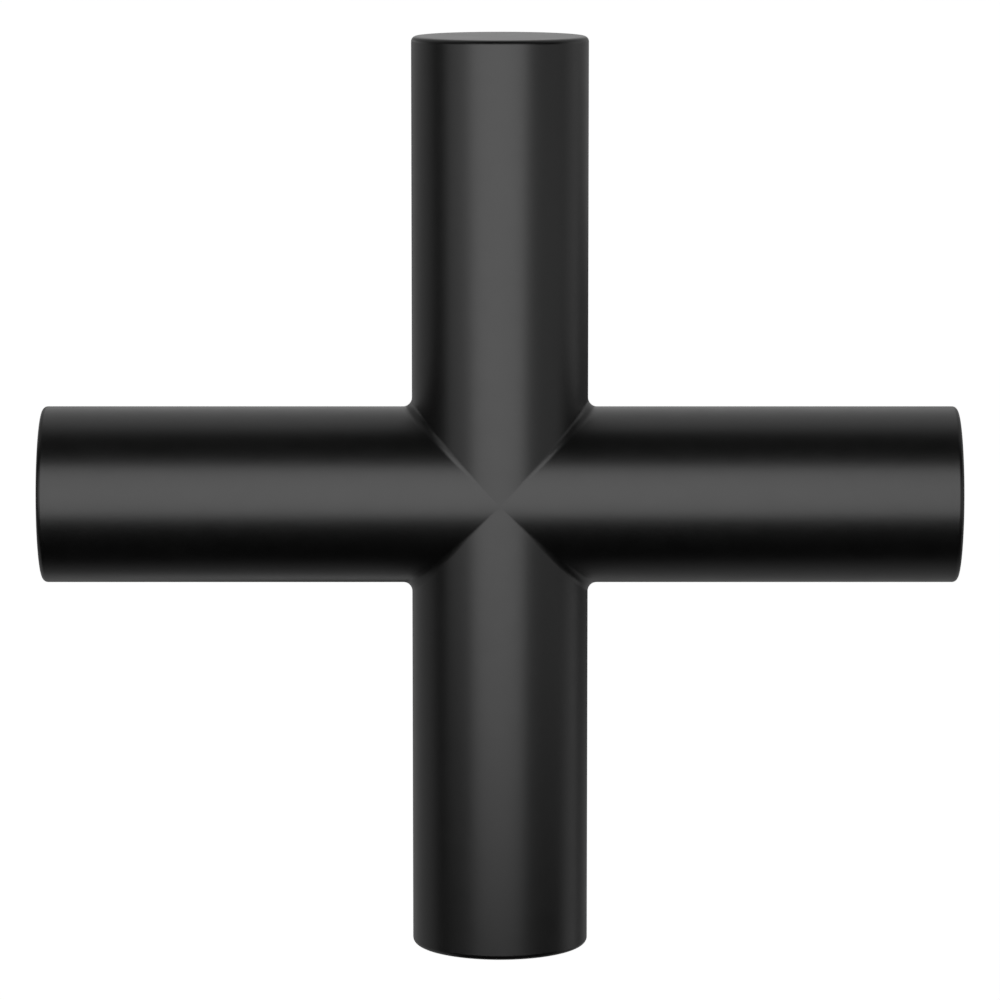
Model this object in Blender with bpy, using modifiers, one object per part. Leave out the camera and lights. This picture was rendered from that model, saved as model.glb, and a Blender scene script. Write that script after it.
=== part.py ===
"""Cross-head tap handle on its slim fixed stem: four equal round arms, satin black, on a quarter-turn spindle

The origin is the centre of the stem's seat, the plane that meets the tap body. -Y points to the user, +X to
the user's right and +Z up. Every piece is laid out in the frame of the empty stem_axis, which is the front
view: x right, y up, and z the height in front of the seat.
"""

import math

import bmesh
import bpy
from mathutils import Matrix, Vector

MM = 0.001

# Driving dimensions: the cross
ARM_RADIUS = 6.25 * MM
ARM_REACH = 5.2 * ARM_RADIUS  # from the centre of the cross to an arm's end face
END_ROUNDING = 0.06 * ARM_RADIUS
CROTCH_FILLET = 0.11 * ARM_RADIUS

# Driving dimensions: the stem behind it, as heights in front of the seat
STEM_LENGTH = 20 * MM
TURNING_GAP = 0.5 * MM  # between the fixed sleeve and the turning boss
BOSS_LENGTH = 2 * ARM_RADIUS  # from the centre of the cross to the boss's rear face
BOSS_FACE = STEM_LENGTH + TURNING_GAP
CROSS_HEIGHT = BOSS_FACE + BOSS_LENGTH
GLIDE_RECESS = 0.6 * MM  # how deep the glide ring sits in the boss
TAIL_LENGTH = 8 * MM
TAIL_RADIUS = 4 * MM  # M8 x 1 thread, left plain here
QUARTER_TURN = math.radians(90)

# Fits
TOUCH = 0.05 * MM  # between pieces that rest on each other, and round a running journal
EDGE = 0.2 * MM  # small chamfers
CLEAR = 1 * MM  # how far a cutter reaches past what it cuts
WELD = 1e-7  # points nearer than this are one point

# Spindle
JOURNAL_RADIUS = 2.95 * MM
REAR_JOURNAL_RADIUS = 2.5 * MM
LAND_RADIUS = 4.1 * MM
SPINDLE_FLAT = 2.5 * MM  # from the axis to the flat under the set screw
SPINDLE_FRONT = CROSS_HEIGHT + 1.5 * MM
END_ROOM = 0.5 * MM  # between the spindle's end and the end of its bore in the cross

# Barrel
BARREL_RADIUS = 5.2 * MM
BARREL_BORE = 4.2 * MM
BARREL_WEB = 2 * MM  # height of the floor of its bore
SEAL_POCKET_DEPTH = 0.95 * MM
STOP_KEY_WIDTH = 1.6 * MM
STOP_KEY_ANGLE = math.radians(225)
STOP_KEY_RADIUS = 4.7 * MM  # how far the stop ring's key reaches into the barrel's keyway

# The stack inside the barrel, from its web forwards: (bottom, top) of each piece
REAR_BUSH_SPAN = (BARREL_WEB + TOUCH, 5.0 * MM)
WAVE_WASHER_SPAN = (5.05 * MM, 5.85 * MM)
REAR_WASHER_SPAN = (5.95 * MM, 6.55 * MM)
LAND_SPAN = (6.65 * MM, 12.9 * MM)
FRONT_WASHER_SPAN = (12.95 * MM, 13.45 * MM)
FRONT_BUSH_SPAN = (13.5 * MM, 16.2 * MM)
STOP_RING_SPAN = (16.25 * MM, 18.35 * MM)
RETAINING_RING_SPAN = (18.45 * MM, 19.05 * MM)
RETAINING_GROOVE_RADIUS = 4.55 * MM
RETAINING_RING_BORE = 3.8 * MM
PLIER_HOLE_RADIUS = 0.32 * MM

# Seals
SEAL_MINOR = 0.55 * MM
SEAL_MAJOR = 3.6 * MM
SEAL_GROOVE_FLOOR = 3.0 * MM
SEAL_GROOVE_WIDTH = 1.5 * MM
SEAL_HEIGHTS = {"rear_spindle_seal": 8.2 * MM, "front_spindle_seal": 11.3 * MM}

# Pins and set screw
PIN_RADIUS = 0.75 * MM
STOP_PIN_SPAN = (-2.6 * MM, 4 * MM)
STOP_PIN_MARGIN = math.radians(15)  # half the pin's width seen from the axis, and one degree
STOP_PIN_HEIGHT = sum(STOP_RING_SPAN) / 2
SCREW_RADIUS = 1.95 * MM  # M4
SCREW_LENGTH = 3 * MM
SCREW_HEIGHT = BOSS_FACE + 3.3 * MM
SCREW_SOCKET_FLATS = 2 * MM

# Drive coupling behind the tail, which takes a 20-tooth valve spindle
COUPLING_RADIUS = 5 * MM
COUPLING_SPAN = (-18.6 * MM, -8.6 * MM)
SPLINE_TEETH = 20
SPLINE_ROOT = 4.0 * MM
SPLINE_TIP = 3.65 * MM
SPLINE_DEPTH = 6 * MM
COUPLING_PIN_HEIGHT = COUPLING_SPAN[1] - 2 * MM

# Facets
ROUND_OUTER = 48
ROUND_INNER = 32
ROUND_PIN = 16
ROLL_STEPS = 3  # along an arc of an end's rounding or a fillet


def clear_scene():
    for obj in list(bpy.data.objects):
        bpy.data.objects.remove(obj)


def new_collection(name):
    collection = bpy.data.collections.new(name)
    bpy.context.scene.collection.children.link(collection)
    return collection


clear_scene()
PARTS = new_collection("cross_tap_handle")
CUTTERS = new_collection("cutters")
STEM_AXIS = bpy.data.objects.new("stem_axis", None)
STEM_AXIS.rotation_euler = (math.radians(90), 0, 0)
PARTS.objects.link(STEM_AXIS)


def new_material(name, colour, roughness, metallic):
    material = bpy.data.materials.new(name)
    material.use_nodes = True
    shader = material.node_tree.nodes["Principled BSDF"]
    shader.inputs["Base Color"].default_value = (*colour, 1)
    shader.inputs["Roughness"].default_value = roughness
    shader.inputs["Metallic"].default_value = metallic
    return material


SATIN_BLACK = new_material("satin_black", (0.02, 0.02, 0.021), 0.4, 0)
BRASS = new_material("brass", (0.75, 0.56, 0.27), 0.3, 1)
STEEL = new_material("stainless_steel", (0.6, 0.6, 0.58), 0.25, 1)
ACETAL = new_material("acetal", (0.8, 0.79, 0.74), 0.5, 0)
NITRILE = new_material("nitrile_rubber", (0.03, 0.03, 0.03), 0.7, 0)


def place(obj, material=None, location=(0, 0, 0), rotation=(0, 0, 0)):
    """Puts a piece, or a cutter when it has no material, in the front-view frame of the stem."""
    for collection in list(obj.users_collection):
        collection.objects.unlink(obj)
    obj.parent = STEM_AXIS
    obj.location = location
    obj.rotation_euler = rotation
    if material is None:
        CUTTERS.objects.link(obj)
        obj.hide_render = True
        obj.display_type = "WIRE"
    else:
        PARTS.objects.link(obj)
        obj.data.materials.clear()
        obj.data.materials.append(material)
    return obj


def arc(radius, start, end, steps, centre=(0, 0)):
    """Points on an arc, both ends included."""
    angles = [start + (end - start) * i / steps for i in range(steps + 1)]
    return [(centre[0] + radius * math.cos(a), centre[1] + radius * math.sin(a)) for a in angles]


def turned(name, profile, material, segments=ROUND_INNER, **placing):
    """A body turned about z. Its profile of (radius, height) points runs down the outer side."""
    is_ring = min(radius for radius, _ in profile) > 0
    points = [(radius, 0, height) for radius, height in profile]
    edges = [(i, i + 1) for i in range(len(points) - 1)]
    if is_ring:
        edges.append((len(points) - 1, 0))
    mesh = bpy.data.meshes.new(name)
    mesh.from_pydata(points, edges, [])
    obj = place(bpy.data.objects.new(name, mesh), material, **placing)
    screw = obj.modifiers.new("turn", "SCREW")
    screw.steps = screw.render_steps = segments
    screw.use_merge_vertices = True
    screw.merge_threshold = 1e-6
    screw.use_smooth_shade = True
    return obj


def tube(inner, outer, span, edge=0.0):
    """The profile of a plain ring or tube, with a chamfer on its outer edges."""
    bottom, top = span
    if not edge:
        return [(outer, top), (outer, bottom), (inner, bottom), (inner, top)]
    outer_side = [(outer - edge, top), (outer, top - edge), (outer, bottom + edge), (outer - edge, bottom)]
    return [*outer_side, (inner, bottom), (inner, top)]


def o_ring(name, major, minor, height):
    bpy.ops.mesh.primitive_torus_add(
        major_radius=major, minor_radius=minor, major_segments=ROUND_INNER, minor_segments=10)
    obj = bpy.context.object
    obj.name = name
    obj.data.shade_smooth()
    return place(obj, NITRILE, location=(0, 0, height))


def flat_outline(name, outlines, material, span):
    """A plate cut to closed 2D outlines, the first its edge and the others its holes, between two heights."""
    bottom, top = span
    curve = bpy.data.curves.new(name, "CURVE")
    curve.dimensions = "2D"
    curve.fill_mode = "BOTH"
    curve.extrude = (top - bottom) / 2
    for outline in outlines:
        spline = curve.splines.new("POLY")
        spline.points.add(len(outline) - 1)
        spline.use_cyclic_u = True
        for point, (x, y) in zip(spline.points, outline):
            point.co = (x, y, 0, 1)
    return place(bpy.data.objects.new(name, curve), material, location=(0, 0, (top + bottom) / 2))


def rod(name, radius, span, material=None, segments=ROUND_PIN, **placing):
    """A round rod, or a round cutter, between two heights on its own axis."""
    bottom, top = span
    bpy.ops.mesh.primitive_cylinder_add(vertices=segments, radius=radius, depth=top - bottom)
    obj = bpy.context.object
    obj.name = name
    obj.data.transform(Matrix.Translation((0, 0, (top + bottom) / 2)))
    return place(obj, material, **placing)


def block(name, low, high, **placing):
    """A box between two corners, for cutting with."""
    bpy.ops.mesh.primitive_cube_add(size=1)
    obj = bpy.context.object
    obj.name = name
    low, high = Vector(low), Vector(high)
    obj.data.transform(Matrix.Translation((low + high) / 2) @ Matrix.Diagonal((*(high - low), 1)))
    return place(obj, **placing)


def combine(obj, tool, operation="DIFFERENCE"):
    boolean = obj.modifiers.new(tool.name, "BOOLEAN")
    boolean.operation = operation
    boolean.solver = "EXACT"
    boolean.object = tool


# Where pieces go whose own axis isn't the stem's: an upright z axis turned to x, or down to -y
STOP_PIN_PLACE = {"location": (0, 0, STOP_PIN_HEIGHT), "rotation": (0, math.radians(90), 0)}
COUPLING_PIN_PLACE = {"location": (0, 0, COUPLING_PIN_HEIGHT), "rotation": (0, math.radians(90), 0)}
UNDER_BOSS = {"location": (0, 0, SCREW_HEIGHT), "rotation": (math.radians(90), 0, 0)}


# The cross: arms and boss are equal cylinders, blended by a ball that rolls along each crotch.

RIGHT, UP, REAR = Vector((1, 0, 0)), Vector((0, 1, 0)), Vector((0, 0, -1))
LIMB_REACH = {tuple(limb): ARM_REACH for limb in (RIGHT, UP, -RIGHT, -UP)} | {tuple(REAR): BOSS_LENGTH}


def slerp(first, second, share):
    """Unit vector part of the way round from one unit vector to another."""
    angle = first.angle(second, 0)
    if angle < 1e-9:
        return first.copy()
    return (math.sin((1 - share) * angle) * first + math.sin(share * angle) * second) / math.sin(angle)


def limb_end(limb, outward):
    """Points from the centre of a limb's end face, over its rounded edge, to its side."""
    reach = LIMB_REACH[tuple(limb)]
    core = reach * limb - END_ROUNDING * limb + (ARM_RADIUS - END_ROUNDING) * outward
    rounding = [slerp(limb, outward, i / ROLL_STEPS) for i in range(ROLL_STEPS + 1)]
    return [reach * limb] + [core + END_ROUNDING * direction for direction in rounding]


def blend_path(first, second, third, angle):
    """Points from one limb's end face to its neighbour's, through their fillet, at an angle towards third."""
    across, away = math.cos(angle), math.sin(angle)
    off_first = across * second + away * third
    off_second = across * first + away * third
    ball = (ARM_RADIUS + CROTCH_FILLET) * (across * (first + second) + away * third)
    off = [slerp(off_first, off_second, i / ROLL_STEPS) for i in range(ROLL_STEPS + 1)]
    fillet = [ball - CROTCH_FILLET * direction for direction in off]
    return limb_end(first, off_first) + fillet + limb_end(second, off_second)[::-1]


def add_grid(bm, rows):
    """Quads between neighbouring rows of points of equal length."""
    made = [[bm.verts.new(point) for point in row] for row in rows]
    for row, following in zip(made, made[1:]):
        for i in range(len(row) - 1):
            bm.faces.new((row[i], row[i + 1], following[i + 1], following[i]))


def add_blend(bm, first, second, third, start, end):
    """The skin of two neighbouring limbs between two angles, in degrees towards third."""
    steps = round((end - start) * ROUND_OUTER / 360)
    angles = [math.radians(start + (end - start) * i / steps) for i in range(steps + 1)]
    add_grid(bm, [blend_path(first, second, third, angle) for angle in angles])


def corner_row(ball, off, row):
    """One row of points on a corner's triangle, whose rows shrink towards its third point."""
    share, steps = row / ROLL_STEPS, ROLL_STEPS - row
    start, end = slerp(off[0], off[2], share), slerp(off[1], off[2], share)
    return [ball + CROTCH_FILLET * slerp(start, end, j / max(steps, 1)) for j in range(steps + 1)]


def add_corner(bm, first, second, third):
    """The piece of the ball left where three limbs meet."""
    ball = (ARM_RADIUS + CROTCH_FILLET) * (first + second + third) / math.sqrt(2)
    off = [-(pair[0] + pair[1]).normalized() for pair in ((second, third), (first, third), (first, second))]
    rows = [[bm.verts.new(point) for point in corner_row(ball, off, row)] for row in range(ROLL_STEPS + 1)]
    for low, high in zip(rows, rows[1:]):
        for j in range(len(high)):
            bm.faces.new((low[j], low[j + 1], high[j]))
        for j in range(len(high) - 1):
            bm.faces.new((low[j + 1], high[j + 1], high[j]))


def cross_mesh():
    bm = bmesh.new()
    arms = [RIGHT, UP, -RIGHT, -UP]
    for arm, following in zip(arms, arms[1:] + arms[:1]):
        add_blend(bm, arm, following, REAR, -90, 45)
        add_blend(bm, arm, REAR, following, -45, 45)
        add_corner(bm, arm, following, REAR)
    bmesh.ops.remove_doubles(bm, verts=bm.verts, dist=WELD)
    bmesh.ops.recalc_face_normals(bm, faces=bm.faces)
    mesh = bpy.data.meshes.new("cross_grip")
    bm.to_mesh(mesh)
    bm.free()
    mesh.shade_smooth()
    return mesh


def make_cross_grip():
    """The cross, bored from behind for the spindle and from below for the set screw."""
    grip = place(bpy.data.objects.new("cross_grip", cross_mesh()), SATIN_BLACK, location=(0, 0, CROSS_HEIGHT))
    bore_span = (BOSS_FACE - CLEAR, SPINDLE_FRONT + END_ROOM)
    recess_span = (BOSS_FACE - CLEAR, BOSS_FACE + GLIDE_RECESS)
    combine(grip, rod("spindle_bore", JOURNAL_RADIUS + TOUCH, bore_span, segments=ROUND_INNER))
    combine(grip, rod("glide_recess", BARREL_RADIUS + TOUCH, recess_span, segments=ROUND_INNER))
    hole_span = (JOURNAL_RADIUS - CLEAR, ARM_RADIUS + CLEAR)
    hole_radius = SCREW_RADIUS + 2 * TOUCH
    combine(grip, rod("set_screw_hole", hole_radius, hole_span, segments=ROUND_INNER, **UNDER_BOSS))


def make_glide_ring():
    span = (STEM_LENGTH + TOUCH, BOSS_FACE + GLIDE_RECESS - TOUCH)
    turned("glide_ring", tube(JOURNAL_RADIUS + 2 * TOUCH, BARREL_RADIUS, span), ACETAL)


def make_set_screw():
    """A hex-socket screw with a cup point, its tip on the spindle's flat, and the plug that hides it."""
    tip, head = SPINDLE_FLAT + TOUCH, SPINDLE_FLAT + TOUCH + SCREW_LENGTH
    cone, cup, socket_depth = 0.6 * MM, 0.35 * MM, 1.5 * MM
    profile = [
        (0, head), (SCREW_RADIUS - EDGE, head), (SCREW_RADIUS, head - EDGE),
        (SCREW_RADIUS, tip + cone), (SCREW_RADIUS - cone, tip), (0, tip + cup),
    ]
    screw = turned("set_screw", profile, STEEL, ROUND_PIN, **UNDER_BOSS)
    socket_span = (head - socket_depth, head + CLEAR)
    corner_radius = SCREW_SOCKET_FLATS / math.sqrt(3)
    combine(screw, rod("set_screw_socket", corner_radius, socket_span, segments=6, **UNDER_BOSS))

    plug_span = (head + TOUCH, ARM_RADIUS + CLEAR)
    plug = rod("screw_plug", SCREW_RADIUS + TOUCH, plug_span, NITRILE, ROUND_INNER, **UNDER_BOSS)
    skin = rod("plug_skin", ARM_RADIUS - TOUCH, (BOSS_FACE, CROSS_HEIGHT), segments=ROUND_OUTER)
    combine(plug, skin, "INTERSECT")


def make_spindle():
    land_bottom, land_top = LAND_SPAN
    half_groove = SEAL_GROOVE_WIDTH / 2
    grooves = [
        point
        for height in sorted(SEAL_HEIGHTS.values(), reverse=True)
        for point in (
            (LAND_RADIUS, height + half_groove), (SEAL_GROOVE_FLOOR, height + half_groove),
            (SEAL_GROOVE_FLOOR, height - half_groove), (LAND_RADIUS, height - half_groove),
        )
    ]
    rear_end = COUPLING_SPAN[0] + SPLINE_DEPTH + 4 * TOUCH
    profile = [
        (0, SPINDLE_FRONT), (JOURNAL_RADIUS - EDGE, SPINDLE_FRONT), (JOURNAL_RADIUS, SPINDLE_FRONT - EDGE),
        (JOURNAL_RADIUS, land_top), (LAND_RADIUS, land_top), *grooves, (LAND_RADIUS, land_bottom),
        (REAR_JOURNAL_RADIUS, land_bottom), (REAR_JOURNAL_RADIUS, rear_end + EDGE),
        (REAR_JOURNAL_RADIUS - EDGE, rear_end), (0, rear_end),
    ]
    spindle = turned("spindle", profile, BRASS)

    flat_low = (-LAND_RADIUS, -LAND_RADIUS, BOSS_FACE + GLIDE_RECESS + EDGE)
    flat_high = (LAND_RADIUS, -SPINDLE_FLAT, SPINDLE_FRONT + CLEAR)
    combine(spindle, block("spindle_flat", flat_low, flat_high))
    root, tip = STOP_PIN_SPAN
    combine(spindle, rod("stop_pin_hole", PIN_RADIUS + TOUCH, (root - TOUCH, tip + TOUCH), **STOP_PIN_PLACE))
    combine(spindle, coupling_pin_hole("spindle_pin_hole"))
    rod("stop_pin", PIN_RADIUS, STOP_PIN_SPAN, STEEL, **STOP_PIN_PLACE)


def coupling_pin_hole(name):
    reach = COUPLING_RADIUS + CLEAR
    return rod(name, PIN_RADIUS + TOUCH, (-reach, reach), **COUPLING_PIN_PLACE)


def spline_cutter(span):
    """A round bar whose outline rises and falls, with two points to a root and two to a tip."""
    cutter = rod("spline_cutter", 1, span, segments=4 * SPLINE_TEETH)
    for vertex in cutter.data.vertices:
        angle = math.atan2(vertex.co.y, vertex.co.x)
        at_root = round(angle * 4 * SPLINE_TEETH / (2 * math.pi)) % 4 < 2
        radius = SPLINE_ROOT if at_root else SPLINE_TIP
        vertex.co.x *= radius
        vertex.co.y *= radius
    return cutter


def make_coupling():
    rear = COUPLING_SPAN[0]
    profile = tube(REAR_JOURNAL_RADIUS + TOUCH, COUPLING_RADIUS, COUPLING_SPAN, EDGE)
    coupling = turned("drive_coupling", profile, BRASS)
    combine(coupling, spline_cutter((rear - CLEAR, rear + SPLINE_DEPTH)))
    combine(coupling, coupling_pin_hole("coupling_pin_hole"))
    half_pin = COUPLING_RADIUS - EDGE
    rod("coupling_pin", PIN_RADIUS, (-half_pin, half_pin), STEEL, **COUPLING_PIN_PLACE)


def make_seals():
    for name, height in SEAL_HEIGHTS.items():
        o_ring(name, SEAL_MAJOR, SEAL_MINOR, height)
    seat_seal_major = (TAIL_RADIUS + BARREL_RADIUS) / 2
    o_ring("seat_seal", seat_seal_major, SEAL_POCKET_DEPTH / 2 - TOUCH, SEAL_POCKET_DEPTH / 2)


def make_stem():
    sleeve_bore = BARREL_RADIUS + TOUCH
    turned("stem_sleeve", tube(sleeve_bore, ARM_RADIUS, (0, STEM_LENGTH), EDGE), SATIN_BLACK, ROUND_OUTER)

    groove_bottom, groove_top = RETAINING_RING_SPAN[0] - TOUCH, RETAINING_RING_SPAN[1] + TOUCH
    tail_bore = REAR_JOURNAL_RADIUS + 2 * TOUCH
    tail_chamfer = 0.6 * MM
    barrel = [
        (BARREL_RADIUS, STEM_LENGTH), (BARREL_RADIUS, SEAL_POCKET_DEPTH), (TAIL_RADIUS, SEAL_POCKET_DEPTH),
        (TAIL_RADIUS, tail_chamfer - TAIL_LENGTH), (TAIL_RADIUS - tail_chamfer, -TAIL_LENGTH),
        (tail_bore, -TAIL_LENGTH), (tail_bore, BARREL_WEB), (BARREL_BORE, BARREL_WEB),
        (BARREL_BORE, groove_bottom), (RETAINING_GROOVE_RADIUS, groove_bottom),
        (RETAINING_GROOVE_RADIUS, groove_top), (BARREL_BORE, groove_top), (BARREL_BORE, STEM_LENGTH),
    ]
    half_keyway = STOP_KEY_WIDTH / 2 + TOUCH
    keyway_low = (JOURNAL_RADIUS, -half_keyway, STOP_RING_SPAN[0] - TOUCH)
    keyway_high = (STOP_KEY_RADIUS + TOUCH, half_keyway, STEM_LENGTH + CLEAR)
    keyway = block("stop_keyway", keyway_low, keyway_high, rotation=(0, 0, STOP_KEY_ANGLE))
    combine(turned("stem_barrel", barrel, BRASS), keyway)


def make_bearings():
    in_bore = BARREL_BORE - TOUCH
    turned("rear_bush", tube(REAR_JOURNAL_RADIUS + TOUCH, in_bore, REAR_BUSH_SPAN, EDGE), ACETAL)
    turned("front_bush", tube(JOURNAL_RADIUS + TOUCH, in_bore, FRONT_BUSH_SPAN, EDGE), ACETAL)
    turned("rear_thrust_washer", tube(REAR_JOURNAL_RADIUS + 2 * TOUCH, LAND_RADIUS, REAR_WASHER_SPAN), ACETAL)
    turned("front_thrust_washer", tube(JOURNAL_RADIUS + 2 * TOUCH, LAND_RADIUS, FRONT_WASHER_SPAN), ACETAL)


def make_wave_washer():
    """A spring washer with three waves, which takes up the spindle's end play."""
    bottom, top = WAVE_WASHER_SPAN
    sheet, waves, inner, outer = 0.2 * MM, 3, 2.75 * MM, 4.0 * MM
    swing = (top - bottom - sheet) / 2
    bm = bmesh.new()
    rows = []
    for i in range(ROUND_INNER + 1):
        angle = 2 * math.pi * i / ROUND_INNER
        lift = swing * math.sin(waves * angle)
        rows.append([(radius * math.cos(angle), radius * math.sin(angle), lift) for radius in (inner, outer)])
    add_grid(bm, rows)
    bmesh.ops.remove_doubles(bm, verts=bm.verts, dist=WELD)
    mesh = bpy.data.meshes.new("wave_washer")
    bm.to_mesh(mesh)
    bm.free()
    washer = place(bpy.data.objects.new("wave_washer", mesh), STEEL, location=(0, 0, (top + bottom) / 2))
    solidify = washer.modifiers.new("sheet", "SOLIDIFY")
    solidify.thickness = sheet
    solidify.offset = 0


def key_corner(side):
    """An outer corner of the stop ring's key, on one side of its middle."""
    along, across = STOP_KEY_RADIUS, side * STOP_KEY_WIDTH / 2
    cos, sin = math.cos(STOP_KEY_ANGLE), math.sin(STOP_KEY_ANGLE)
    return (along * cos - across * sin, along * sin + across * cos)


def make_stops():
    """The stop ring leaves the pin a quarter turn, and the retaining ring closes the barrel."""
    inner, outer = JOURNAL_RADIUS + 3 * TOUCH, BARREL_BORE - TOUCH
    start, end = QUARTER_TURN + STOP_PIN_MARGIN, 2 * math.pi - STOP_PIN_MARGIN
    half_key = math.asin(STOP_KEY_WIDTH / 2 / outer)
    outline = (
        arc(outer, start, STOP_KEY_ANGLE - half_key, ROUND_INNER // 2)
        + [key_corner(-1), key_corner(1)]
        + arc(outer, STOP_KEY_ANGLE + half_key, end, ROUND_INNER // 2)
        + arc(inner, end, start, ROUND_INNER)
    )
    flat_outline("stop_ring", [outline], BRASS, STOP_RING_SPAN)

    outer, inner, lug = RETAINING_GROOVE_RADIUS - TOUCH, RETAINING_RING_BORE, 3.15 * MM
    gap, lug_angle = math.radians(14), math.radians(30)
    start, end = gap, 2 * math.pi - gap
    outline = (
        arc(outer, start, end, ROUND_INNER)
        + arc(lug, end, end - lug_angle, 4)
        + arc(inner, end - lug_angle, start + lug_angle, ROUND_INNER)
        + arc(lug, start + lug_angle, start, 4)
    )
    holes = []
    for angle in (start + lug_angle / 2, end - lug_angle / 2):
        centre = (inner * math.cos(angle), inner * math.sin(angle))
        holes.append(arc(PLIER_HOLE_RADIUS, 2 * math.pi, 0, 12, centre)[:-1])
    flat_outline("retaining_ring", [outline, *holes], STEEL, RETAINING_RING_SPAN)


make_cross_grip()
make_glide_ring()
make_set_screw()
make_spindle()
make_coupling()
make_seals()
make_stem()
make_bearings()
make_wave_washer()
make_stops()
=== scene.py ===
"""The looks of the cross tap handle: fine meshes and finishes for every piece, and a white studio.

Pieces are modelled in the handle's front view, in metres: x right, y up, and z the height in front of the
stem's seat. FRONT_VIEW turns them into the frame's axes, where the user is on the -Y side and Z is up.
"""

import math

import bmesh
import bpy
from mathutils import Matrix, Vector


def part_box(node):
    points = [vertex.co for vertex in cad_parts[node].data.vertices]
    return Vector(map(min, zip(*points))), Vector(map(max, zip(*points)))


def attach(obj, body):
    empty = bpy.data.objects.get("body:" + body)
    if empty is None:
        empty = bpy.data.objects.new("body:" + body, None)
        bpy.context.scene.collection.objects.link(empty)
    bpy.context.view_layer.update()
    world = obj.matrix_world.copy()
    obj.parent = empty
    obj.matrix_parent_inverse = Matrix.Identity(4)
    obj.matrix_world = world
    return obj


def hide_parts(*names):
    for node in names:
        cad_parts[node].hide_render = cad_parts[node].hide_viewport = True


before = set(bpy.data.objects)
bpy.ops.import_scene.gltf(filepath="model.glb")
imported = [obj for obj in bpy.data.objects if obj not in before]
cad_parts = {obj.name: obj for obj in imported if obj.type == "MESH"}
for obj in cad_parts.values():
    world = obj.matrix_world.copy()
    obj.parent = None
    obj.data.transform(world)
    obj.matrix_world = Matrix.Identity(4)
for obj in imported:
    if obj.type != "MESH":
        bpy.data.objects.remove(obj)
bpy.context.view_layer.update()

MM = 0.001
FRONT_VIEW = Matrix.Rotation(math.radians(90), 4, "X")


# Sizes, read from the frame


def heights(node):
    """(rear, front) of a node, as heights in front of the seat."""
    low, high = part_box(node)
    return -high.y, -low.y


def mid_height(node):
    return sum(heights(node)) / 2


def radius_of(node):
    """How far a node reaches to the right of the stem's axis."""
    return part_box(node)[1].x


ARM_RADIUS = radius_of("stem_sleeve")
ARM_REACH = radius_of("cross_grip")
BOSS_FACE = heights("cross_grip")[0]
CROSS_HEIGHT = heights("cross_grip")[1] - ARM_RADIUS
END_ROUNDING = 0.06 * ARM_RADIUS
CROTCH_FILLET = 0.11 * ARM_RADIUS
STEM_LENGTH = heights("stem_sleeve")[1]
TAIL_END = heights("stem_barrel")[0]
TOUCH = 0.05 * MM  # the gap between pieces that rest on each other
CLEAR = 1 * MM  # how far a cutter runs past the face that it opens
FINE = 0.05 * MM  # the smallest rounding of an edge
WELD = 0.0005 * MM  # points closer than this are one point

OUTER_SEGMENTS = 144
INNER_SEGMENTS = 96
PIN_SEGMENTS = 48
SMALL_SEGMENTS = 24  # round a seal's cord or a plier hole
ROLL_STEPS = 8  # along an arc of an end's rounding or a fillet
RUN_STEPS = 8  # along the straight part of an arm
CORNER_STEPS = 4  # along a turned piece's rounded edge


# Mesh tools


def arc(radius, start, end, steps, centre=(0, 0)):
    """Points on an arc, both ends included."""
    angles = [start + (end - start) * i / steps for i in range(steps + 1)]
    return [(centre[0] + radius * math.cos(a), centre[1] + radius * math.sin(a)) for a in angles]


def round_angles(segments):
    """Even angles, once round."""
    return [2 * math.pi * i / segments for i in range(segments)]


def at_angle(profile, angle):
    """A profile of (radius, height) points, swung round z to an angle."""
    return [(r * math.cos(angle), r * math.sin(angle), z) for r, z in profile]


def weld(bm, mesh):
    """Writes a bmesh to a mesh, with its loose joins closed and its faces pointing out."""
    bmesh.ops.remove_doubles(bm, verts=bm.verts, dist=WELD)
    bmesh.ops.dissolve_degenerate(bm, edges=bm.edges, dist=WELD)
    bmesh.ops.recalc_face_normals(bm, faces=bm.faces)
    bm.to_mesh(mesh)
    bm.free()


def new_object(name, bm):
    """An object from a bmesh in the front view."""
    mesh = bpy.data.meshes.new(name)
    weld(bm, mesh)
    obj = bpy.data.objects.new(name, mesh)
    bpy.context.scene.collection.objects.link(obj)
    return obj


def add_grid(bm, rows, wrap=False):
    """Faces between neighbouring rows of points, and from the last row to the first where they wrap."""
    made = [[bm.verts.new(point) for point in row] for row in rows]
    following = made[1:] + ([made[0]] if wrap else [])
    for row, after in zip(made, following):
        for i in range(len(row) - 1):
            bm.faces.new((row[i], row[i + 1], after[i + 1], after[i]))


def rounded(profile, is_ring):
    """A (radius, height, rounding) profile as plain points, with an arc at each corner that is rounded."""
    points = []
    count = len(profile)
    for i, (r, z, rounding) in enumerate(profile):
        corner = Vector((r, z))
        if rounding == 0 or (not is_ring and i in (0, count - 1)):
            points.append(corner)
            continue
        to_last = (Vector(profile[i - 1][:2]) - corner).normalized()
        to_next = (Vector(profile[(i + 1) % count][:2]) - corner).normalized()
        half_angle = to_last.angle(to_next) / 2
        setback = rounding / math.tan(half_angle)
        centre = corner + (to_last + to_next).normalized() * rounding / math.sin(half_angle)
        first = corner + to_last * setback - centre
        last = corner + to_next * setback - centre
        for k in range(CORNER_STEPS + 1):
            points.append(centre + rounding * slerp(first, last, k / CORNER_STEPS))
    return points


def turned(name, profile, segments=INNER_SEGMENTS):
    """A body turned about z from a profile of (radius, height, rounding) points."""
    is_ring = min(r for r, _, _ in profile) > 0
    points = rounded(profile, is_ring)
    if is_ring:
        points.append(points[0])
    bm = bmesh.new()
    add_grid(bm, [at_angle(points, angle) for angle in round_angles(segments)], wrap=True)
    return new_object(name, bm)


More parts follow.
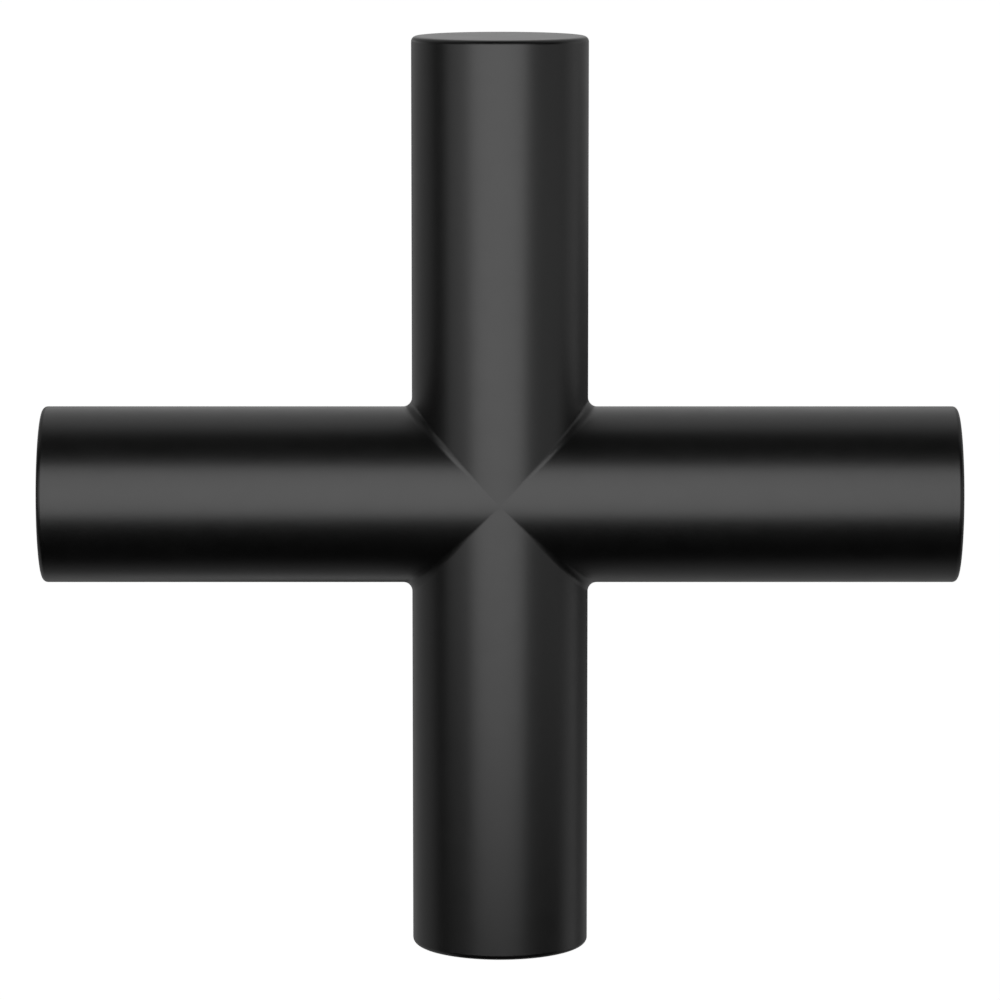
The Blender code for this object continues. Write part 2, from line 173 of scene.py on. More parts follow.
def tube(inner, outer, span, rounding):
    """The profile of a plain ring or sleeve, with every edge rounded."""
    bottom, top = span
    corners = ((outer, top), (outer, bottom), (inner, bottom), (inner, top))
    return [(*corner, rounding) for corner in corners]


def rod(name, radius, span, rounding, segments=PIN_SEGMENTS):
    """A round bar along z, with rounded edges."""
    bottom, top = span
    profile = [(0, top, 0), (radius, top, rounding), (radius, bottom, rounding), (0, bottom, 0)]
    return turned(name, profile, segments)


def box(name, low, high):
    """A box between two corners."""
    bpy.ops.mesh.primitive_cube_add(size=1)
    obj = bpy.context.object
    obj.name = name
    low, high = Vector(low), Vector(high)
    obj.data.transform(Matrix.Translation((low + high) / 2) @ Matrix.Diagonal((*(high - low), 1)))
    return obj


def settle(obj):
    """Makes the modifiers' result the object's own mesh."""
    bpy.context.view_layer.update()
    mesh = bpy.data.meshes.new_from_object(obj.evaluated_get(bpy.context.evaluated_depsgraph_get()))
    obj.modifiers.clear()
    obj.data = mesh
    return obj


def round_edges(obj, width, sharp_angle):
    """Rounds the edges that bend by more than an angle in degrees."""
    bevel = obj.modifiers.new("edges", "BEVEL")
    bevel.width = width
    bevel.segments = 3
    bevel.limit_method = "ANGLE"
    bevel.angle_limit = math.radians(sharp_angle)
    return settle(obj)


def plate(name, outlines, span, rounding=0.0):
    """A plate cut to closed outlines, the first its edge and the others its holes, between two heights."""
    bottom, top = span
    curve = bpy.data.curves.new(name, "CURVE")
    curve.dimensions = "2D"
    curve.fill_mode = "BOTH"
    curve.extrude = (top - bottom) / 2
    for outline in outlines:
        spline = curve.splines.new("POLY")
        spline.points.add(len(outline) - 1)
        spline.use_cyclic_u = True
        for point, (x, y) in zip(spline.points, outline):
            point.co = (x, y, 0, 1)
    source = bpy.data.objects.new(name, curve)
    bpy.context.scene.collection.objects.link(source)
    bpy.context.view_layer.update()
    bm = bmesh.new()
    bm.from_mesh(source.to_mesh())
    bpy.data.objects.remove(source)
    bmesh.ops.translate(bm, verts=bm.verts, vec=(0, 0, (top + bottom) / 2))
    obj = new_object(name, bm)
    if rounding:
        round_edges(obj, rounding, sharp_angle=50)
    return obj


def cut(obj, *cutters, operation="DIFFERENCE"):
    """Cuts bodies out of an object, or keeps only what they share with it."""
    for cutter in cutters:
        boolean = obj.modifiers.new(cutter.name, "BOOLEAN")
        boolean.operation = operation
        boolean.solver = "EXACT"
        boolean.object = cutter
    settle(obj)
    for cutter in cutters:
        bpy.data.objects.remove(cutter)
    bm = bmesh.new()
    bm.from_mesh(obj.data)
    weld(bm, obj.data)
    return obj


def turn(obj, degrees, axis):
    obj.data.transform(Matrix.Rotation(math.radians(degrees), 4, axis))
    return obj


def lift(obj, height):
    obj.data.transform(Matrix.Translation((0, 0, height)))
    return obj


def fit(obj, node, body, material, smooth_angle=35):
    """Puts a finished piece in the place of a CAD node, on a body, with its finish and smooth shading."""
    obj.data.transform(FRONT_VIEW)
    obj.data.materials.clear()
    obj.data.materials.append(material)
    obj.data.shade_smooth()
    obj.data.set_sharp_from_angle(angle=math.radians(smooth_angle))
    normals = obj.modifiers.new("even_shading", "WEIGHTED_NORMAL")
    normals.mode = "FACE_AREA"
    normals.weight = 100
    normals.keep_sharp = True
    settle(obj)
    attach(obj, body)
    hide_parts(node)


# Materials

MOTTLE_RANGE = (0.3, 0.7)  # where the noise holds nearly all its values


class Nodes:
    """A material's node tree, with the few kinds of node that the finishes use."""

    def __init__(self, name, colour, roughness, metallic=0.0):
        self.material = bpy.data.materials.new(name)
        self.material.use_nodes = True
        self.tree = self.material.node_tree
        self.shader = self.tree.nodes["Principled BSDF"]
        self.shader.inputs["Base Color"].default_value = (*colour, 1)
        self.shader.inputs["Roughness"].default_value = roughness
        self.shader.inputs["Metallic"].default_value = metallic
        self.place = self.tree.nodes.new("ShaderNodeTexCoord").outputs["Object"]

    def add(self, kind, inputs):
        """A node with each input plugged in or set."""
        node = self.tree.nodes.new(kind)
        for name, value in inputs.items():
            if isinstance(value, bpy.types.NodeSocket):
                self.tree.links.new(value, node.inputs[name])
            else:
                node.inputs[name].default_value = value
        return node

    def stretched(self, x=1.0, y=1.0, z=1.0):
        """The place, squeezed or stretched along the frame's axes."""
        return self.add("ShaderNodeMapping", {"Vector": self.place, "Scale": (x, y, z)}).outputs["Vector"]

    def noise(self, grain, detail=2.0, place=None):
        """Noise from 0 to 1 whose grains are about this many metres wide."""
        inputs = {"Vector": place or self.place, "Scale": 1 / grain, "Detail": detail}
        return self.add("ShaderNodeTexNoise", inputs).outputs["Fac"]

    def plug_in(self, name, socket):
        self.tree.links.new(socket, self.shader.inputs[name])

    def mottle(self, value, dark, light):
        """Lets the base colour go from dark to light over the middle of a 0 to 1 value's range."""
        node = self.add("ShaderNodeValToRGB", {"Fac": value})
        for stop, position, colour in zip(node.color_ramp.elements, MOTTLE_RANGE, (dark, light)):
            stop.position = position
            stop.color = (*colour, 1)
        self.plug_in("Base Color", node.outputs["Color"])

    def roughen(self, value, low, high):
        """Lets the roughness go from low to high with a 0 to 1 value."""
        inputs = {"Value": value, "To Min": low, "To Max": high}
        self.plug_in("Roughness", self.add("ShaderNodeMapRange", inputs).outputs["Result"])

    def bump(self, height, depth, below=None):
        """Relief of this depth in metres, over any other relief."""
        inputs = {"Height": height, "Distance": depth, "Strength": 1.0}
        if below is not None:
            inputs["Normal"] = below
        normal = self.add("ShaderNodeBump", inputs).outputs["Normal"]
        self.plug_in("Normal", normal)
        return normal


def satin_black():
    """Powder coat: jet black, with a fine orange peel and a slightly uneven sheen."""
    nodes = Nodes("satin_black", (0.0006, 0.0006, 0.0006), 0.35)
    nodes.mottle(nodes.noise(6 * MM, 3), (0.0003, 0.0003, 0.0003), (0.0009, 0.0009, 0.0009))
    nodes.roughen(nodes.noise(1.5 * MM, 4), 0.32, 0.38)
    peel = nodes.bump(nodes.noise(0.45 * MM, 1), 0.0015 * MM)
    nodes.bump(nodes.noise(0.06 * MM, 2), 0.0004 * MM, below=peel)
    return nodes.material


def turned_metal(name, dark, light, roughness, rings):
    """Metal off a lathe whose axis is the stem's: fine rings, and a colour that varies a little."""
    nodes = Nodes(name, light, roughness, metallic=1.0)
    nodes.mottle(nodes.noise(2.5 * MM, 4), dark, light)
    grooves = nodes.noise(rings, 3, nodes.stretched(x=0.02, z=0.02))
    nodes.roughen(grooves, roughness - 0.06, roughness + 0.08)
    nodes.bump(grooves, 0.002 * MM)
    return nodes.material


def acetal():
    """Machined natural acetal: off-white, dull and faintly cloudy."""
    nodes = Nodes("acetal", (0.78, 0.77, 0.72), 0.5)
    nodes.mottle(nodes.noise(3 * MM), (0.74, 0.73, 0.68), (0.8, 0.79, 0.74))
    nodes.roughen(nodes.noise(0.4 * MM), 0.42, 0.55)
    nodes.bump(nodes.noise(0.08 * MM), 0.001 * MM)
    return nodes.material


def nitrile_rubber():
    """Moulded black rubber, with a fine matt grain."""
    nodes = Nodes("nitrile_rubber", (0.025, 0.025, 0.026), 0.7)
    nodes.mottle(nodes.noise(1.2 * MM, 3), (0.02, 0.02, 0.021), (0.032, 0.032, 0.033))
    nodes.roughen(nodes.noise(0.3 * MM), 0.62, 0.78)
    nodes.bump(nodes.noise(0.05 * MM), 0.002 * MM)
    return nodes.material


BLACK = satin_black()
BRASS = turned_metal("brass", (0.66, 0.46, 0.2), (0.78, 0.58, 0.29), 0.27, 0.05 * MM)
STEEL = turned_metal("stainless_steel", (0.52, 0.52, 0.51), (0.64, 0.64, 0.62), 0.24, 0.04 * MM)
ACETAL = acetal()
NITRILE = nitrile_rubber()


# The cross: arms and boss are equal cylinders, blended by a ball that rolls along each crotch.

RIGHT, UP, REAR = Vector((1, 0, 0)), Vector((0, 1, 0)), Vector((0, 0, -1))
ARMS = (RIGHT, UP, -RIGHT, -UP)
LIMB_REACH = {tuple(arm): ARM_REACH for arm in ARMS}
LIMB_REACH[tuple(REAR)] = CROSS_HEIGHT - BOSS_FACE


def slerp(first, second, share):
    """Unit vector part of the way round from one direction to another."""
    first, second = first.normalized(), second.normalized()
    angle = first.angle(second, 0)
    if angle < 1e-6:
        return first
    return (math.sin((1 - share) * angle) * first + math.sin(share * angle) * second) / math.sin(angle)


def limb_end(limb, outward):
    """Points from the centre of a limb's end face, over its rounded edge, to its side."""
    reach = LIMB_REACH[tuple(limb)]
    core = (reach - END_ROUNDING) * limb + (ARM_RADIUS - END_ROUNDING) * outward
    rounding = [slerp(limb, outward, i / ROLL_STEPS) for i in range(ROLL_STEPS + 1)]
    return [reach * limb] + [core + END_ROUNDING * direction for direction in rounding]


def straight(start, end):
    """Points between two others, which are left out."""
    return [start.lerp(end, i / RUN_STEPS) for i in range(1, RUN_STEPS)]


def blend_path(first, second, third, angle):
    """Points from one limb's end face to its neighbour's, through their fillet, at an angle towards third."""
    across, away = math.cos(angle), math.sin(angle)
    off_first = across * second + away * third
    off_second = across * first + away * third
    ball = (ARM_RADIUS + CROTCH_FILLET) * (across * (first + second) + away * third)
    off = [slerp(off_first, off_second, i / ROLL_STEPS) for i in range(ROLL_STEPS + 1)]
    fillet = [ball - CROTCH_FILLET * direction for direction in off]
    start = limb_end(first, off_first)
    end = limb_end(second, off_second)[::-1]
    return start + straight(start[-1], fillet[0]) + fillet + straight(fillet[-1], end[0]) + end


def add_blend(bm, first, second, third, start, end):
    """The skin of two neighbouring limbs between two angles, in degrees towards third."""
    steps = round((end - start) * OUTER_SEGMENTS / 360)
    angles = [math.radians(start + (end - start) * i / steps) for i in range(steps + 1)]
    add_grid(bm, [blend_path(first, second, third, angle) for angle in angles])


def add_corner(bm, first, second, third):
    """The piece of the ball left where three limbs meet."""
    ball = (ARM_RADIUS + CROTCH_FILLET) * (first + second + third) / math.sqrt(2)
    off = [-(second + third), -(first + third), -(first + second)]
    rows = [corner_row(ball, off, i) for i in range(ROLL_STEPS + 1)]
    rows = [[bm.verts.new(point) for point in row] for row in rows]
    for low, high in zip(rows, rows[1:]):
        for j in range(len(high)):
            bm.faces.new((low[j], low[j + 1], high[j]))
        for j in range(len(high) - 1):
            bm.faces.new((low[j + 1], high[j + 1], high[j]))


def corner_row(ball, off, row):
    """One row of the corner's triangle, which shrinks towards its third point."""
    share = row / ROLL_STEPS
    start, end = slerp(off[0], off[2], share), slerp(off[1], off[2], share)
    steps = ROLL_STEPS - row
    return [ball + CROTCH_FILLET * slerp(start, end, j / max(steps, 1)) for j in range(steps + 1)]


def cross_body():
    """The whole cross and its boss, with nothing cut out yet."""
    bm = bmesh.new()
    for arm, following in zip(ARMS, ARMS[1:] + ARMS[:1]):
        add_blend(bm, arm, following, REAR, -90, 45)
        add_blend(bm, arm, REAR, following, -45, 45)
        add_corner(bm, arm, following, REAR)
    return lift(new_object("cross", bm), CROSS_HEIGHT)


# What the boss holds, and the set screw under it
JOURNAL_RADIUS = 2.95 * MM
SPINDLE_FRONT = heights("spindle")[1]
SCREW_RADIUS = radius_of("set_screw")
SCREW_TIP, SCREW_HEAD = [-corner.z for corner in reversed(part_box("set_screw"))]  # below the axis
SPINDLE_FLAT = SCREW_TIP - TOUCH  # below the axis


def below_boss(obj):
    """Turns a body made along z, with its top outwards, so that it stands out of the boss's underside."""
    return lift(turn(obj, 90, "X"), mid_height("set_screw"))


def spindle_bore():
    radius = JOURNAL_RADIUS + TOUCH
    top = SPINDLE_FRONT + 0.5 * MM
    drill_point = 1.5 * MM
    bottom = BOSS_FACE - CLEAR
    return turned("bore", [(0, top + drill_point, 0), (radius, top, 0), (radius, bottom, 0), (0, bottom, 0)])


def glide_recess(rim):
    radius = radius_of("glide_ring") + TOUCH
    top = heights("glide_ring")[1] + TOUCH
    bottom = BOSS_FACE - CLEAR
    return turned("recess", [
        (0, top, 0), (radius, top, 0), (radius, BOSS_FACE + rim, 0), (radius + rim + CLEAR, bottom, 0),
        (0, bottom, 0)])


def screw_hole(rim):
    radius = SCREW_RADIUS + 2 * TOUCH
    top = ARM_RADIUS + CLEAR
    bottom = JOURNAL_RADIUS - CLEAR
    hole = turned("hole", [
        (0, top, 0), (radius + rim + CLEAR, top, 0), (radius, ARM_RADIUS - 2 * rim, 0), (radius, bottom, 0),
        (0, bottom, 0)])
    return below_boss(hole)


def make_cross_grip():
    rim = 0.12 * MM
    cross = cut(cross_body(), spindle_bore(), glide_recess(rim), screw_hole(rim))
    fit(cross, "cross_grip", "handle", BLACK)


def make_glide_ring():
    profile = tube(JOURNAL_RADIUS + 2 * TOUCH, radius_of("glide_ring"), heights("glide_ring"), 0.12 * MM)
    fit(turned("glide", profile, OUTER_SEGMENTS), "glide_ring", "stem", ACETAL)


def make_set_screw():
    """A cup-point screw with a hexagon socket."""
    cone, cup, edge = 0.6 * MM, 0.35 * MM, 0.15 * MM
    screw = turned("screw", [
        (0, SCREW_HEAD, 0), (SCREW_RADIUS, SCREW_HEAD, edge), (SCREW_RADIUS, SCREW_TIP + cone, edge),
        (SCREW_RADIUS - cone, SCREW_TIP, FINE), (0, SCREW_TIP + cup, 0)])
    across_flats, depth, drill_point = 2 * MM, 1.5 * MM, 0.4 * MM
    corner = across_flats / math.sqrt(3)
    top, bottom = SCREW_HEAD + CLEAR, SCREW_HEAD - depth
    socket_profile = [(0, top, 0), (corner, top, 0), (corner, bottom, 0), (0, bottom - drill_point, 0)]
    socket = turned("socket", socket_profile, segments=6)
    fit(below_boss(cut(screw, socket)), "set_screw", "handle", STEEL)


def make_screw_plug():
    """A short plug whose outer face follows the boss."""
    span = (SCREW_HEAD + TOUCH, ARM_RADIUS + CLEAR)
    plug = below_boss(rod("plug", radius_of("screw_plug"), span, 0, INNER_SEGMENTS))
    skin = rod("skin", ARM_RADIUS - 3 * TOUCH, (BOSS_FACE, CROSS_HEIGHT), 0, OUTER_SEGMENTS)
    cut(plug, skin, operation="INTERSECT")
    fit(round_edges(plug, 0.12 * MM, sharp_angle=40), "screw_plug", "handle", NITRILE)


# The spindle and what it drives
LAND_RADIUS = radius_of("spindle")
LAND_SPAN = (heights("rear_thrust_washer")[1] + 2 * TOUCH, heights("front_thrust_washer")[0] - TOUCH)
SEAL_GROOVE_FLOOR = 3.0 * MM
SEAL_GROOVE_WIDTH = 1.5 * MM
REAR_JOURNAL_RADIUS = 2.5 * MM
PIN_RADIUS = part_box("stop_pin")[1].z


def across_stem(obj, node):
    """Lays a bar made along z from left to right, at a node's height."""
    return lift(turn(obj, 90, "Y"), mid_height(node))


def stop_pin_hole():
    left, right = [corner.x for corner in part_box("stop_pin")]
    return across_stem(rod("stop_hole", PIN_RADIUS + TOUCH, (left - TOUCH, right + TOUCH), 0), "stop_pin")


def coupling_pin_hole():
    reach = radius_of("drive_coupling") + CLEAR
    return across_stem(rod("pin_hole", PIN_RADIUS + TOUCH, (-reach, reach), 0), "coupling_pin")


def seal_groove(node, edge):
    """The profile's four corners at a seal's groove, front first."""
    front, rear = [mid_height(node) + side * SEAL_GROOVE_WIDTH / 2 for side in (1, -1)]
    return [(LAND_RADIUS, front, edge), (SEAL_GROOVE_FLOOR, front, edge),
            (SEAL_GROOVE_FLOOR, rear, edge), (LAND_RADIUS, rear, edge)]


def make_spindle():
    land_bottom, land_top = LAND_SPAN
    rear_end = heights("spindle")[0]
    edge, end_edge = 0.12 * MM, 0.2 * MM
    centre_mark = 0.6 * MM
    spindle = turned("shaft", [
        (0, SPINDLE_FRONT, 0), (JOURNAL_RADIUS, SPINDLE_FRONT, end_edge), (JOURNAL_RADIUS, land_top, FINE),
        (LAND_RADIUS, land_top, edge), *seal_groove("front_spindle_seal", edge),
        *seal_groove("rear_spindle_seal", edge), (LAND_RADIUS, land_bottom, edge),
        (REAR_JOURNAL_RADIUS, land_bottom, FINE), (REAR_JOURNAL_RADIUS, rear_end, end_edge),
        (centre_mark, rear_end, FINE), (0, rear_end + centre_mark, 0)])
    flat_low = (-LAND_RADIUS, -LAND_RADIUS, BOSS_FACE + 0.8 * MM)
    flat = box("flat", flat_low, (LAND_RADIUS, -SPINDLE_FLAT, SPINDLE_FRONT + CLEAR))
    fit(cut(spindle, flat, stop_pin_hole(), coupling_pin_hole()), "spindle", "handle", BRASS)


def make_stop_pin():
    left, right = [corner.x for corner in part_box("stop_pin")]
    pin = rod("dowel", PIN_RADIUS, (left, right), 0.12 * MM)
    fit(across_stem(pin, "stop_pin"), "stop_pin", "handle", STEEL)


SPLINE_TEETH = 20
SPLINE_ROOT = 4.0 * MM
SPLINE_TIP = 3.65 * MM
SPLINE_DEPTH = 6 * MM
SPLINE_CHAMFER = 0.35 * MM


def spline_outline(points_per_tooth=16):
    """The socket's outline, whose teeth have a flat tip, a flat root and smooth flanks."""
    half_tip, flank = 0.125, 0.25  # shares of the pitch of the teeth
    outline = []
    for i in range(SPLINE_TEETH * points_per_tooth):
        phase = i / points_per_tooth % 1
        rise = min(max((abs(phase - 0.5) - half_tip) / flank, 0), 1)
        eased = rise * rise * (3 - 2 * rise)
        radius = SPLINE_TIP + (SPLINE_ROOT - SPLINE_TIP) * eased
        angle = 2 * math.pi * i / (SPLINE_TEETH * points_per_tooth)
        outline.append((radius * math.cos(angle), radius * math.sin(angle)))
    return outline


def make_coupling():
    rear, front = heights("drive_coupling")
    profile = tube(REAR_JOURNAL_RADIUS + TOUCH, radius_of("drive_coupling"), (rear, front), 0.2 * MM)
    coupling = turned("coupling", profile, OUTER_SEGMENTS)
    splines = plate("splines", [spline_outline()], (rear - CLEAR, rear + SPLINE_DEPTH))
    mouth_radius = SPLINE_ROOT + SPLINE_CHAMFER / 2
    mouth = turned("mouth", [
        (0, rear + mouth_radius, 0), (mouth_radius + CLEAR, rear - CLEAR, 0), (0, rear - CLEAR, 0)])
    cut(coupling, splines, mouth, coupling_pin_hole())
    fit(coupling, "drive_coupling", "handle", BRASS, smooth_angle=30)


def make_coupling_pin():
    """A roll pin, bored through."""
    reach = radius_of("coupling_pin")
    bore_radius = 0.55 * PIN_RADIUS
    pin = rod("roll_pin", PIN_RADIUS, (-reach, reach), 0.12 * MM)
    cut(pin, rod("roll_pin_bore", bore_radius, (-reach - CLEAR, reach + CLEAR), 0))
    fit(across_stem(pin, "coupling_pin"), "coupling_pin", "handle", STEEL)


def make_seals():
    bodies = {"front_spindle_seal": "handle", "rear_spindle_seal": "handle", "seat_seal": "stem"}
    for node, body in bodies.items():
        minor = (heights(node)[1] - heights(node)[0]) / 2
        bpy.ops.mesh.primitive_torus_add(
            major_radius=radius_of(node) - minor, minor_radius=minor, major_segments=OUTER_SEGMENTS,
            minor_segments=SMALL_SEGMENTS)
        ring = bpy.context.object
        ring.name = node + "_ring"
        fit(lift(ring, mid_height(node)), node, body, NITRILE)


# The fixed stem
BARREL_RADIUS = radius_of("stem_barrel")
BARREL_BORE = radius_of("front_bush") + TOUCH
BARREL_WEB = 2 * MM
SEAL_POCKET_DEPTH = 0.95 * MM
TAIL_RADIUS = 4 * MM
THREAD_PITCH = 1 * MM
THREAD_DEPTH = 0.61 * MM
THREAD_CREST = 0.19  # share of the pitch
THREAD_FLANKS = 0.68  # share of the pitch, both flanks together
THREAD_ROWS = 16  # to one turn of the thread
TAIL_TIP_RADIUS = TAIL_RADIUS - THREAD_DEPTH - 0.15 * MM
GROOVE_RADIUS = 4.55 * MM
PLIER_HOLE_RADIUS = 0.32 * MM
STOP_KEY_ANGLE = 225  # degrees
STOP_KEY_RADIUS = 4.7 * MM
STOP_KEY_WIDTH = 1.6 * MM


def thread_radius(turns, height):
    """The tail's radius this many turns along the helix, with an undercut by the seat and a chamfered tip."""
    phase = turns % 1
    depth = min(max((abs(phase - 0.5) * 2 - THREAD_CREST) / THREAD_FLANKS, 0), 1)
    radius = TAIL_RADIUS - THREAD_DEPTH * depth
    undercut = 0.9 * MM
    at_seat = TAIL_RADIUS - THREAD_DEPTH if height > -undercut else TAIL_RADIUS
    at_tip = TAIL_TIP_RADIUS + (height - TAIL_END)
    return min(radius, at_seat, at_tip)


def threaded_rows(segments):
    """For each angle round the tail, its points from the seat to the tip, along the helix."""
    turns = round(-TAIL_END / THREAD_PITCH)
    rows = []
    for i in range(segments + 1):
        lead = i / segments
        row = []
        for k in range(-THREAD_ROWS, turns * THREAD_ROWS + 1):
            along = k / THREAD_ROWS + lead
            height = min(max(-along * THREAD_PITCH, TAIL_END), 0)
            row.append((thread_radius(along, height), height))
        rows.append(row)
    return rows


def barrel_profile(bore):
    """The barrel's (radius, height) points from its tip, up the bore and down the outside to the seat."""
    ring_low, ring_high = heights("retaining_ring")
    edge = 0.2 * MM
    corners = [
        (bore, BARREL_WEB, FINE), (BARREL_BORE, BARREL_WEB, FINE),
        (BARREL_BORE, ring_low - TOUCH, FINE), (GROOVE_RADIUS, ring_low - TOUCH, FINE),
        (GROOVE_RADIUS, ring_high + TOUCH, FINE), (BARREL_BORE, ring_high + TOUCH, FINE),
        (BARREL_BORE, STEM_LENGTH, edge), (BARREL_RADIUS, STEM_LENGTH, edge),
        (BARREL_RADIUS, SEAL_POCKET_DEPTH, FINE), (TAIL_RADIUS, SEAL_POCKET_DEPTH, FINE),
        (TAIL_RADIUS, 0, 0),
    ]
    return [(bore, TAIL_END + FINE)] + [tuple(point) for point in rounded(corners, False)]


def stop_keyway():
    """The slot in the barrel's bore that holds the stop ring's key."""
    half_width = STOP_KEY_WIDTH / 2 + TOUCH
    low = (JOURNAL_RADIUS, -half_width, heights("stop_ring")[0] - TOUCH)
    high = (STOP_KEY_RADIUS + TOUCH, half_width, STEM_LENGTH + CLEAR)
    return turn(box("keyway", low, high), STOP_KEY_ANGLE, "Z")


def make_barrel():
    bore = REAR_JOURNAL_RADIUS + 2 * TOUCH
    profile = barrel_profile(bore)
    tip = [(TAIL_TIP_RADIUS, TAIL_END), (bore + FINE, TAIL_END), profile[0]]
    rows = []
    for i, thread in enumerate(threaded_rows(OUTER_SEGMENTS)):
        rows.append(at_angle(profile + thread + tip, 2 * math.pi * i / OUTER_SEGMENTS))
    bm = bmesh.new()
    add_grid(bm, rows)
    barrel = cut(new_object("barrel", bm), stop_keyway())
    fit(barrel, "stem_barrel", "stem", BRASS, smooth_angle=30)


def make_sleeve():
    profile = tube(BARREL_RADIUS + TOUCH, ARM_RADIUS, (0, STEM_LENGTH), 0.2 * MM)
    fit(turned("sleeve", profile, OUTER_SEGMENTS), "stem_sleeve", "stem", BLACK)


def make_bearings():
    rings = {
        "rear_bush": REAR_JOURNAL_RADIUS + TOUCH,
        "front_bush": JOURNAL_RADIUS + TOUCH,
        "rear_thrust_washer": REAR_JOURNAL_RADIUS + 2 * TOUCH,
        "front_thrust_washer": JOURNAL_RADIUS + 2 * TOUCH,
    }
    for node, bore in rings.items():
        profile = tube(bore, radius_of(node), heights(node), 0.1 * MM)
        fit(turned(node + "_ring", profile), node, "stem", ACETAL)


def make_wave_washer():
    """A spring washer with three waves."""
    bottom, top = heights("wave_washer")
    sheet, waves, inner, outer = 0.2 * MM, 3, 2.75 * MM, radius_of("wave_washer")
    middle, swing = (top + bottom) / 2, (top - bottom - sheet) / 2
    rows = []
    for angle in round_angles(INNER_SEGMENTS):
        rise = middle + swing * math.sin(waves * angle)
        profile = rounded(tube(inner, outer, (rise - sheet / 2, rise + sheet / 2), 0.06 * MM), True)
        rows.append(at_angle([*profile, profile[0]], angle))
    bm = bmesh.new()
    add_grid(bm, rows, wrap=True)
    fit(new_object("wave_spring", bm), "wave_washer", "stem", STEEL)


def make_stop_ring():
    """A keyed ring with a gap that leaves the stop pin a quarter turn."""
    quarter, margin = math.radians(90), math.radians(15)
    inner, outer = JOURNAL_RADIUS + 3 * TOUCH, BARREL_BORE - TOUCH
    half_key = math.asin(STOP_KEY_WIDTH / 2 / outer)
    key_angle = math.radians(STOP_KEY_ANGLE)
    key = Matrix.Rotation(key_angle, 2)
    corners = [tuple(key @ Vector((STOP_KEY_RADIUS, side * STOP_KEY_WIDTH / 2))) for side in (-1, 1)]
    start, end = quarter + margin, 2 * math.pi - margin
    outline = (
        arc(outer, start, key_angle - half_key, INNER_SEGMENTS // 2)
        + corners
        + arc(outer, key_angle + half_key, end, INNER_SEGMENTS // 2)
        + arc(inner, end, start, INNER_SEGMENTS)
    )
    fit(plate("stop", [outline], heights("stop_ring"), 0.08 * MM), "stop_ring", "stem", BRASS)


def make_retaining_ring():
    """A circlip with a plier hole in the lug on each side of its gap."""
    outer, inner, lug = GROOVE_RADIUS - TOUCH, 3.8 * MM, 3.15 * MM
    half_gap, lug_angle, lug_steps = math.radians(14), math.radians(30), 12
    start, end = half_gap, 2 * math.pi - half_gap
    outline = (
        arc(outer, start, end, INNER_SEGMENTS)
        + arc(lug, end, end - lug_angle, lug_steps)
        + arc(inner, end - lug_angle, start + lug_angle, INNER_SEGMENTS)
        + arc(lug, start + lug_angle, start, lug_steps)
    )
    holes = []
    for angle in (start + lug_angle / 2, end - lug_angle / 2):
        centre = (inner * math.cos(angle), inner * math.sin(angle))
        holes.append(arc(PLIER_HOLE_RADIUS, 2 * math.pi, 0, SMALL_SEGMENTS, centre)[:-1])
    circlip = plate("circlip", [outline, *holes], heights("retaining_ring"), 0.06 * MM)
    fit(circlip, "retaining_ring", "stem", STEEL)


# The studio

ELEVATION = math.radians(8.09)
CAMERA_DISTANCE = 359.6 * MM
LENS = 182
AIM_DROP = 0.42 * MM
CROSS_CENTRE = Vector((0, -CROSS_HEIGHT, 0))


def make_camera():
    """At the front, a little above, with a long lens."""
    data = bpy.data.cameras.new("camera")
    data.lens = LENS
    data.sensor_width = 36
    data.clip_start = 1 * MM
    camera = bpy.data.objects.new("camera", data)
    direction = Vector((0, -math.cos(ELEVATION), math.sin(ELEVATION)))
    camera.location = CROSS_CENTRE + CAMERA_DISTANCE * direction
    aim = CROSS_CENTRE - Vector((0, 0, AIM_DROP))
    camera.rotation_euler = (aim - camera.location).to_track_quat("-Z", "Y").to_euler()
    bpy.context.scene.collection.objects.link(camera)
    bpy.context.scene.camera = camera


def make_backdrop():
    """A white room: its floor curves up into a wall all round, and the wall into the ceiling."""
    floor, ceiling, radius, curve, curve_steps = -0.8, 1.8, 1.6, 0.6, 16
    profile = [(0, floor)]
    profile += arc(curve, -math.pi / 2, 0, curve_steps, (radius - curve, floor + curve))
    profile += arc(curve, 0, math.pi / 2, curve_steps, (radius - curve, ceiling - curve))
    profile += [(0, ceiling)]
    bm = bmesh.new()
    add_grid(bm, [at_angle(profile, angle) for angle in round_angles(INNER_SEGMENTS)], wrap=True)
    obj = new_object("backdrop", bm)
    obj.data.shade_smooth()
    material = bpy.data.materials.new("white_paper")
    material.use_nodes = True
    shader = material.node_tree.nodes["Principled BSDF"]
    shader.inputs["Base Color"].default_value = (0.9, 0.9, 0.9, 1)
    shader.inputs["Roughness"].default_value = 0.9
    shader.inputs["Emission Color"].default_value = (1, 1, 1, 1)
    shader.inputs["Emission Strength"].default_value = 1.0
    obj.data.materials.append(material)
    obj.visible_diffuse = False
    obj.visible_glossy = False
    obj.visible_shadow = False


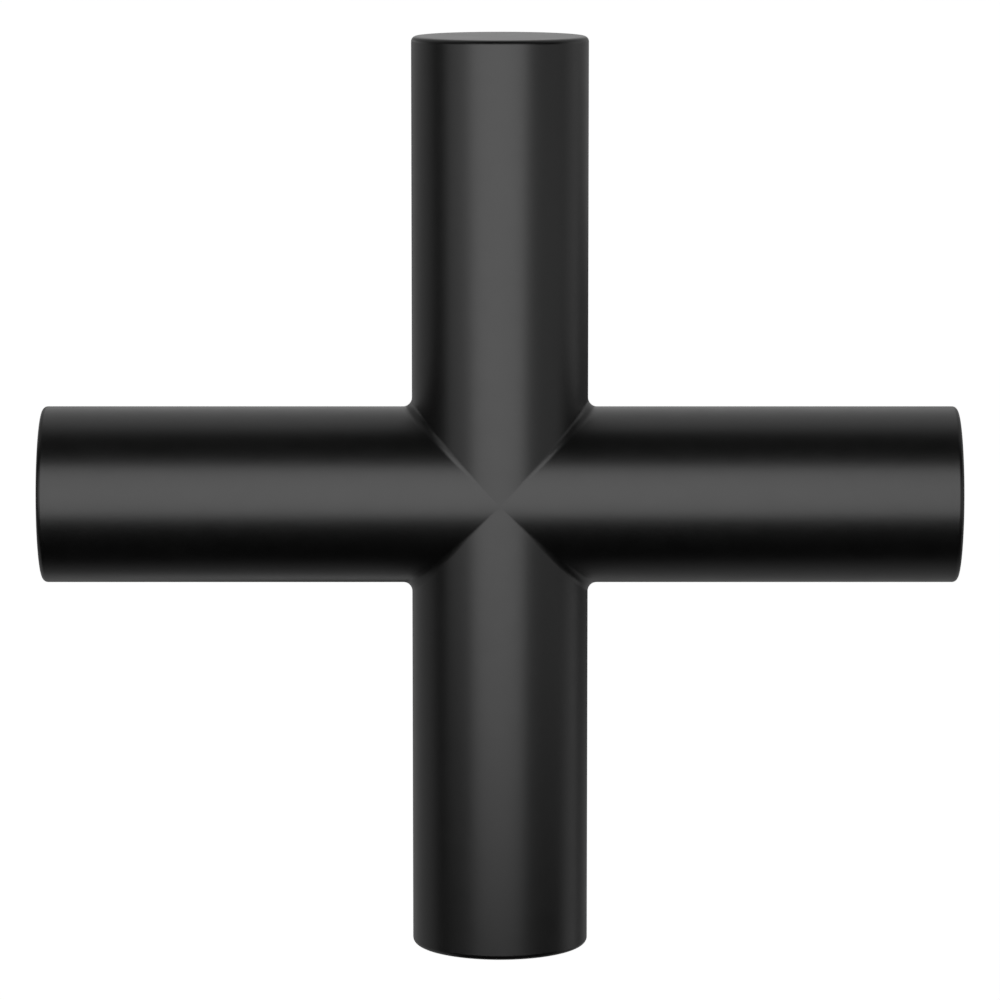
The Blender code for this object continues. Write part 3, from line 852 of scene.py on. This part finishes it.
def soft_box(name, azimuth, elevation, distance, width, height, brightness):
    """A lamp that faces the cross, hidden from the camera. The backdrop's brightness is 1."""
    data = bpy.data.lights.new(name, "AREA")
    data.shape = "RECTANGLE"
    data.size, data.size_y = width, height
    data.energy = math.pi * width * height * brightness
    lamp = bpy.data.objects.new(name, data)
    azimuth, elevation = math.radians(azimuth), math.radians(elevation)
    level = math.cos(elevation)
    towards = Vector((math.sin(azimuth) * level, -math.cos(azimuth) * level, math.sin(elevation)))
    lamp.location = CROSS_CENTRE + distance * towards
    lamp.rotation_euler = (-towards).to_track_quat("-Z", "Y").to_euler()
    lamp.visible_camera = False
    bpy.context.scene.collection.objects.link(lamp)


def make_studio():
    """Lamps named for where they stand, as seen by someone facing the handle, and almost no light between."""
    make_camera()
    make_backdrop()
    # azimuth and elevation in degrees, distance, width, height, brightness
    soft_box("front", -2, 11, 120 * MM, 170 * MM, 150 * MM, 2.65)
    soft_box("right", 60, 0, 180 * MM, 180 * MM, 110 * MM, 0.65)
    soft_box("left", -55, 5, 250 * MM, 160 * MM, 160 * MM, 1.05)
    soft_box("back_right", 105, -5, 500 * MM, 250 * MM, 550 * MM, 0.55)
    soft_box("high_back_right", 150, 40, 300 * MM, 550 * MM, 550 * MM, 0.4)
    soft_box("high_back_left", -150, 45, 250 * MM, 450 * MM, 400 * MM, 0.35)
    soft_box("low_back_left", -130, -25, 400 * MM, 600 * MM, 600 * MM, 0.35)
    soft_box("low_back", 155, -50, 500 * MM, 400 * MM, 750 * MM, 0.2)
    soft_box("low_back_right", 140, -40, 350 * MM, 450 * MM, 450 * MM, 0.1)
    world = bpy.data.worlds.new("studio")
    world.use_nodes = True
    world.node_tree.nodes["Background"].inputs["Color"].default_value = (1, 1, 1, 1)
    world.node_tree.nodes["Background"].inputs["Strength"].default_value = 0.001
    bpy.context.scene.world = world
    bpy.context.scene.view_settings.view_transform = "Standard"


make_cross_grip()
make_glide_ring()
make_set_screw()
make_screw_plug()
make_spindle()
make_stop_pin()
make_coupling()
make_coupling_pin()
make_seals()
make_sleeve()
make_barrel()
make_bearings()
make_wave_washer()
make_stop_ring()
make_retaining_ring()
make_studio()
